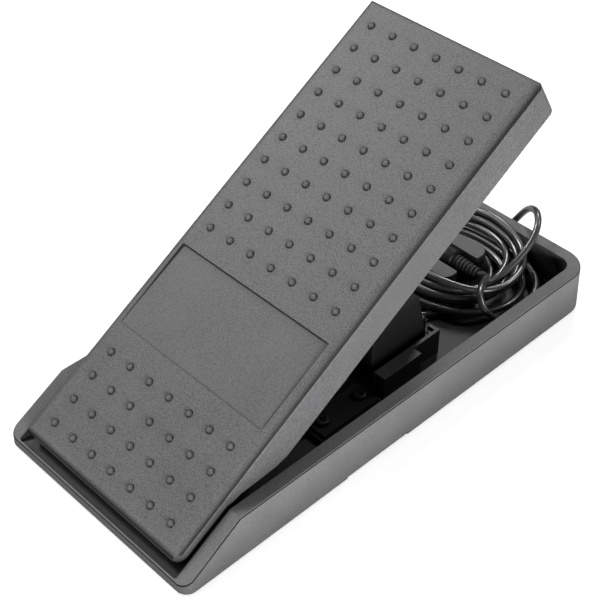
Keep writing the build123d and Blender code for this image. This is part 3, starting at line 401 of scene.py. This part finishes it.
def soft_rubber(name, base, rough, gloss=False):
    """Rubber with patches of dust; gloss smooths it and adds a clear coat."""
    tree = ShaderTree(name)
    fine = tree.noise(scale=1100.0, detail=4.0, rough=0.6)
    mottle = tree.noise(scale=70.0, detail=3.0, rough=0.5)
    dust = tree.ramp(tree.noise(scale=160.0, detail=6.0, rough=0.7), (0.5, 0.0), (0.75, 1.0))
    color = tree.mix(mottle, gray(base * 0.8), gray(base * 1.3))
    color = tree.layer(color, gray(base * 4.0 + 0.01), mask=dust, amount=0.10)
    tree.surface(
        Base_Color=color,
        Roughness=tree.weighted((fine, 0.14), (dust, 0.10), base=rough - 0.1),
        Normal=tree.bump(fine, strength=0.05 if gloss else 0.18, distance=0.00012),
    )
    if gloss:
        tree.surface(Specular_IOR_Level=0.9, Coat_Weight=1.0, Coat_Roughness=0.18)
    return tree.material


# name: (kind of material, its settings)
LOOKS = {
    "case_plastic": (moulded, dict(
        base=0.132, tint=COOL, rough=0.48, grain=0.55, bump=0.70, wear_and_highlight=0.45, speck=0.30,
        soft=0.0004, roll=rim_edge_shade, inside=tray_hollow_shade)),
    "treadle_plastic": (moulded, dict(
        base=0.094, tint=COOL, rough=0.50, grain=0.42, bump=0.95, wear_and_highlight=0.22, speck=0.62,
        soft=0.0004, mask=panel_mask, roll=treadle_edge_shade, groove_shade=panel_groove_shade)),
    "inner_plastic": (moulded, dict(
        base=0.007, tint=COOL, rough=0.48, grain=0.6, bump=0.30, wear_and_highlight=0.35, spec=0.18)),
    "black_steel": (powder, dict(base=0.014, rough=0.48)),
    "zinc_steel": (metal, dict(base=0.62, rough=0.34, brush=0.8, tint=(1.0, 1.0, 0.97))),
    "black_screw": (metal, dict(base=0.05, rough=0.48, brush=0.5)),
    "rubber": (soft_rubber, dict(base=0.022, rough=0.68)),
    "nylon": (moulded, dict(
        base=0.60, tint=(1.0, 0.98, 0.92), rough=0.42, grain=0.5, bump=0.12, var=0.05)),
    "gear_plastic": (moulded, dict(
        base=0.55, tint=(1.0, 0.985, 0.93), rough=0.38, grain=0.5, bump=0.10, var=0.05)),
    "pot_metal": (metal, dict(base=0.5, rough=0.38, brush=0.6)),
    "phenolic": (moulded, dict(
        base=0.10, tint=(1.9, 1.1, 0.55), rough=0.45, grain=0.5, bump=0.15)),
    "tinned": (metal, dict(base=0.7, rough=0.30, brush=0.4)),
    "brass": (metal, dict(base=0.72, rough=0.28, brush=0.8, tint=(1.0, 0.80, 0.42))),
    "aluminium": (metal, dict(base=0.72, rough=0.34, brush=0.9)),
    "nickel": (metal, dict(
        base=0.74, rough=0.16, brush=0.4, tint=(1.0, 0.98, 0.95), spots=0.06)),
    "cable_jacket": (soft_rubber, dict(base=0.022, rough=0.40, gloss=True)),
    "wire_jacket": (moulded, dict(
        base=0.10, tint=(2.2, 0.35, 0.28), rough=0.35, grain=0.4, bump=0.05)),
}
MATERIALS = {name: kind(name, **look) for name, (kind, look) in LOOKS.items()}

# Pieces whose material is not that of their slot
OWN_MATERIAL = {
    "treadle_shell": "treadle_plastic",
    "pivot_stand": "black_steel",
    "stand_screws": "black_screw",
}


def dress_pieces():
    for piece in frame["record"]["subparts"]:
        node = piece["node"]
        slots = frame["nodes"][node].data.materials
        slots.clear()
        slots.append(MATERIALS[OWN_MATERIAL.get(node, piece["material_slot"])])


# ------------------------------------------------------------------ the lead
LEAD_RADIUS = 1.94 * MM
LEAD_SIDES = 18
LEAD_STEPS = 5  # points made for each span of the path

# Centre line of the lead: x, y, z in mm
LEAD_PATH = [
    (8.50, 38.00, 9.70), (9.89, 45.77, 8.47), (12.85, 53.15, 7.87), (16.78, 60.10, 7.72),
    (20.60, 67.11, 7.72), (23.45, 74.56, 7.72), (25.05, 82.38, 7.72), (25.66, 90.34, 7.72),
    (25.38, 98.32, 7.72), (23.64, 106.10, 7.73), (19.75, 113.04, 7.86), (13.99, 118.54, 8.27),
    (7.66, 123.35, 8.98), (2.79, 129.54, 9.84), (1.93, 137.45, 10.04), (2.94, 144.88, 12.00),
    (6.18, 148.39, 18.27), (10.11, 148.60, 25.19), (14.66, 147.06, 31.56),
    (20.17, 144.21, 36.56), (26.31, 139.86, 39.07), (31.63, 134.07, 38.14),
    (34.65, 127.64, 34.57), (35.64, 120.96, 30.32), (35.53, 113.95, 26.50),
    (35.05, 106.62, 23.37), (34.38, 98.99, 21.12), (32.78, 91.31, 19.74), (29.05, 84.30, 19.11),
    (23.39, 78.71, 18.68), (16.42, 74.85, 18.45), (8.75, 72.66, 18.10), (0.84, 71.84, 17.55),
    (-7.11, 72.12, 16.85), (-14.96, 73.40, 16.09), (-22.51, 75.86, 15.35),
    (-29.39, 79.83, 14.68), (-34.79, 85.65, 14.15), (-37.81, 93.01, 14.06),
    (-38.34, 100.91, 14.85), (-36.72, 108.51, 16.64), (-33.39, 115.40, 18.88),
    (-28.61, 121.31, 21.28), (-22.51, 125.79, 23.78), (-15.49, 128.81, 26.07),
    (-7.91, 130.55, 27.84), (-0.01, 131.30, 28.68), (7.97, 131.20, 28.54),
    (15.85, 130.25, 27.66), (23.42, 128.10, 26.36), (30.31, 124.35, 24.90),
    (35.91, 118.86, 23.51), (39.65, 111.90, 22.51), (41.37, 104.14, 21.92),
    (41.03, 96.19, 21.68), (38.25, 88.73, 21.77), (33.11, 82.67, 22.13), (26.40, 78.40, 22.68),
    (18.88, 75.76, 23.01), (11.03, 74.35, 22.98), (3.07, 73.79, 22.72), (-4.88, 74.02, 22.00),
    (-12.64, 75.26, 20.64), (-19.96, 77.89, 18.86), (-26.37, 82.24, 16.99),
    (-31.20, 88.36, 15.37), (-33.64, 95.87, 14.46), (-33.37, 103.81, 14.77),
    (-30.93, 111.29, 16.07), (-26.86, 117.87, 17.99), (-21.38, 123.23, 20.18),
    (-14.72, 127.22, 22.00), (-7.20, 129.58, 23.16), (0.73, 130.44, 23.55),
    (8.70, 130.31, 23.18), (16.53, 129.08, 22.25), (23.90, 126.32, 20.98),
    (30.25, 121.71, 19.63), (34.92, 115.38, 18.40), (37.64, 107.94, 17.49),
    (38.55, 100.04, 16.95), (37.76, 92.11, 16.75), (35.06, 84.61, 16.73), (30.41, 78.13, 16.77),
    (24.20, 73.15, 16.80), (16.98, 69.76, 16.83), (9.23, 67.82, 16.83), (1.29, 67.08, 16.77),
    (-6.69, 67.32, 16.56), (-14.58, 68.49, 16.18), (-22.23, 70.71, 15.69),
    (-29.37, 74.23, 15.17), (-35.53, 79.26, 14.69), (-40.13, 85.75, 14.33),
    (-42.61, 93.32, 14.12), (-42.75, 101.28, 14.08), (-40.67, 108.97, 14.24),
    (-36.48, 115.72, 14.74), (-30.55, 120.98, 15.63), (-23.65, 124.88, 16.54),
    (-16.17, 127.53, 17.41), (-8.37, 129.03, 18.19), (-0.42, 129.56, 18.60),
    (7.54, 128.98, 18.61), (15.19, 126.76, 18.29), (21.82, 122.39, 17.76),
    (26.61, 116.07, 17.15), (29.26, 108.58, 16.54), (29.99, 100.66, 15.97),
    (28.87, 92.78, 15.46), (25.71, 85.48, 15.02), (20.61, 79.38, 14.63), (13.75, 75.43, 14.23),
    (5.89, 74.22, 13.58), (-2.06, 74.12, 12.80), (-9.97, 74.79, 11.96), (-17.52, 77.14, 11.12),
    (-23.74, 82.08, 10.45), (-28.18, 88.67, 10.00), (-30.14, 96.38, 9.88),
    (-29.15, 104.26, 10.19), (-25.36, 111.21, 10.93), (-19.43, 116.43, 11.92),
    (-12.22, 119.69, 12.88), (-4.42, 121.21, 13.52), (3.55, 121.56, 13.71),
    (11.52, 121.09, 13.48), (19.28, 119.31, 13.03), (26.27, 115.53, 12.50),
    (31.49, 109.55, 12.06), (34.12, 102.05, 11.80), (34.14, 94.09, 11.73),
    (31.75, 86.49, 11.82), (27.23, 79.94, 11.95), (21.09, 74.85, 11.97), (13.89, 71.43, 11.90),
    (6.08, 69.81, 11.99), (-1.89, 69.46, 12.01), (-9.84, 70.17, 11.78), (-17.48, 72.38, 11.33),
    (-24.39, 76.33, 10.75), (-30.06, 81.90, 10.22), (-33.92, 88.86, 9.90),
    (-35.43, 96.67, 9.84), (-34.46, 104.57, 10.09), (-31.14, 111.79, 10.68),
    (-25.86, 117.70, 11.51), (-19.19, 121.97, 12.43), (-11.71, 124.60, 13.25),
    (-3.85, 125.86, 13.78), (4.13, 126.16, 13.96), (12.11, 125.89, 13.81),
    (20.03, 124.94, 13.50), (27.75, 122.93, 13.15), (34.87, 119.37, 12.83),
    (40.67, 113.93, 12.56), (44.38, 106.89, 12.36), (45.75, 99.04, 12.22),
    (45.00, 91.10, 12.15), (42.26, 83.62, 12.11), (37.70, 77.09, 12.09), (31.69, 71.84, 12.11),
    (24.72, 67.96, 12.14), (17.18, 65.35, 12.13), (9.34, 63.86, 12.04), (1.38, 63.29, 11.91),
    (-6.60, 63.56, 11.71), (-14.50, 64.70, 11.43), (-22.18, 66.84, 11.08),
    (-29.42, 70.17, 10.71), (-35.88, 74.83, 10.36), (-41.10, 80.85, 10.07),
    (-44.58, 88.02, 9.88), (-45.98, 95.86, 9.82), (-45.21, 103.79, 9.93),
    (-42.34, 111.22, 10.22), (-37.63, 117.63, 10.69), (-31.50, 122.69, 11.40),
    (-24.47, 126.36, 12.20), (-16.89, 128.76, 12.99), (-9.04, 130.03, 13.68),
    (-1.08, 130.46, 14.09), (6.90, 130.46, 14.23), (14.89, 130.20, 14.24),
    (22.83, 129.37, 14.22), (30.62, 127.66, 14.19), (38.02, 124.68, 14.16),
    (44.52, 120.07, 14.10), (49.44, 113.80, 14.00), (52.46, 106.43, 13.88),
    (54.03, 98.60, 13.89), (54.88, 90.67, 14.38), (54.98, 82.83, 15.82), (53.15, 75.76, 18.91),
    (48.00, 72.29, 23.63), (41.71, 75.28, 27.14), (37.25, 81.83, 27.68), (33.99, 88.90, 25.97),
    (29.93, 94.71, 22.41), (23.00, 96.00, 19.70),
]


def catmull(points, steps):
    """Catmull-Rom curve through points, with the given steps per span."""
    curve = []
    last = len(points) - 1
    for i in range(last):
        before, start, end, after = (
            Vector(points[min(max(j, 0), last)]) for j in range(i - 1, i + 3))
        for j in range(steps):
            t = j / steps
            curve.append(0.5 * (
                (2 * start) + (end - before) * t
                + (2 * before - 5 * start + 4 * end - after) * t * t
                + (3 * start - before - 3 * end + after) * t ** 3))
    curve.append(Vector(points[-1]))
    return curve


def tube_mesh(points, radius, sides):
    """Closed tube along points, whose rings don't twist."""
    bm = bmesh.new()
    last = len(points) - 1
    angles = [2 * math.pi * j / sides for j in range(sides)]
    rings = []
    side = None
    for i, point in enumerate(points):
        along = (points[min(i + 1, last)] - points[max(i - 1, 0)]).normalized()
        if side is None:
            side = along.cross(Vector((0, 0, 1))).normalized()
        side = (side - along * side.dot(along)).normalized()
        across = along.cross(side)
        rings.append([
            bm.verts.new(point + (side * math.cos(a) + across * math.sin(a)) * radius)
            for a in angles])
    for ring, following in zip(rings, rings[1:]):
        for j in range(sides):
            k = (j + 1) % sides
            bm.faces.new((ring[j], ring[k], following[k], following[j]))
    bm.faces.new(list(reversed(rings[0])))
    bm.faces.new(rings[-1])
    return bm


def add_mesh(name, bm, material):
    mesh = bpy.data.meshes.new(name)
    bm.to_mesh(mesh)
    bm.free()
    obj = bpy.data.objects.new(name, mesh)
    scene.collection.objects.link(obj)
    mesh.materials.append(material)
    return obj


def build_lead():
    path = [point * MM for point in catmull(LEAD_PATH, LEAD_STEPS)]
    tube = tube_mesh(path, LEAD_RADIUS, LEAD_SIDES)
    lead = add_mesh("lead_coiled", tube, MATERIALS["cable_jacket"])
    for polygon in lead.data.polygons:
        polygon.use_smooth = True
    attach(lead, "base")
    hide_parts("cable")


# ------------------------------------------------------------ stage and light
def floor_paper():
    """Paper that reads white to the camera but bounces less light onto the set."""
    tree = ShaderTree("floor_paper")

    def paper(low, high):
        clouds = tree.noise(scale=3.0, detail=2.0, rough=0.5)
        return tree.mix(clouds, gray(low), gray(high))

    tree.surface(Base_Color=paper(low=0.90, high=0.93), Roughness=0.9, Specular_IOR_Level=0.1,
                 Emission_Strength=0.50, Emission_Color=(1, 1, 1, 1))
    dim = tree.node("ShaderNodeBsdfDiffuse", Color=paper(low=0.56, high=0.60))
    switch = tree.node("ShaderNodeMixShader")
    is_camera = tree.node("ShaderNodeLightPath").outputs["Is Camera Ray"]
    for socket, source in zip(
            switch.inputs, (is_camera, dim.outputs[0], tree.principled.outputs[0])):
        tree.feed(socket, source)
    tree.feed(tree.output.inputs[0], switch.outputs[0])
    return tree.material


def build_floor():
    bm = bmesh.new()
    bmesh.ops.create_grid(bm, x_segments=8, y_segments=8, size=6.0)
    add_mesh("floor", bm, floor_paper())


def build_world(fill_strength, backdrop_strength):
    """White to the camera, with only a low fill on the set."""
    world = bpy.data.worlds.new("studio")
    scene.world = world
    world.use_nodes = True
    nodes = world.node_tree.nodes
    link = world.node_tree.links.new
    fill = nodes["Background"]
    backdrop = nodes.new("ShaderNodeBackground")
    for background, strength in ((fill, fill_strength), (backdrop, backdrop_strength)):
        background.inputs[0].default_value = (1, 1, 1, 1)
        background.inputs[1].default_value = strength
    switch = nodes.new("ShaderNodeMixShader")
    link(nodes.new("ShaderNodeLightPath").outputs["Is Camera Ray"], switch.inputs[0])
    link(fill.outputs[0], switch.inputs[1])
    link(backdrop.outputs[0], switch.inputs[2])
    link(switch.outputs[0], nodes["World Output"].inputs[0])


LIGHT_TARGET = Vector((0, 0, 0.06))

# name, direction from the target, distance, (width, height), power in watts
LIGHTS = [
    ("key_softbox", (-0.85, -0.15, 0.95), 1.4, (0.30, 0.30), 10.4),
    ("key_toe_left", (-0.50, 0.80, 0.95), 1.4, (0.28, 0.28), 4.9),
    ("key_toe_right", (0.45, 0.85, 0.95), 1.4, (0.20, 0.20), 3.0),
    ("side_low", (1.0, -0.35, 0.14), 1.2, (0.9, 0.25), 23.0),
    ("front_fill", (-0.5, -1.0, 0.35), 1.7, (1.0, 0.5), 9.0),
]


def add_area_light(name, direction, distance, size, power):
    light = bpy.data.lights.new(name, "AREA")
    light.shape = "RECTANGLE"
    light.size, light.size_y = size
    light.energy = power
    obj = bpy.data.objects.new(name, light)
    outward = Vector(direction).normalized()
    obj.location = LIGHT_TARGET + outward * distance
    obj.rotation_euler = (-outward).to_track_quat("-Z", "Y").to_euler()
    scene.collection.objects.link(obj)


# Columns: the camera's right, up and backward directions, and its place
CAMERA_POSE = Matrix((
    (0.694168, -0.472081, 0.543387, 0.36864),
    (0.719813, 0.454711, -0.524507, -0.370738),
    (0.000526, 0.755233, 0.655456, 0.49777),
    (0, 0, 0, 1),
))


def add_camera():
    camera = bpy.data.cameras.new("camera")
    camera.sensor_width = 36.0
    camera.lens = 82.797
    camera.clip_start = 0.01
    obj = bpy.data.objects.new("camera", camera)
    obj.matrix_world = CAMERA_POSE
    scene.collection.objects.link(obj)
    scene.camera = obj


dress_pieces()
build_lead()
scene.view_settings.view_transform = "Standard"
scene.view_settings.look = "None"
build_floor()
build_world(fill_strength=0.06, backdrop_strength=1.1)
for light_row in LIGHTS:
    add_area_light(*light_row)
add_camera()
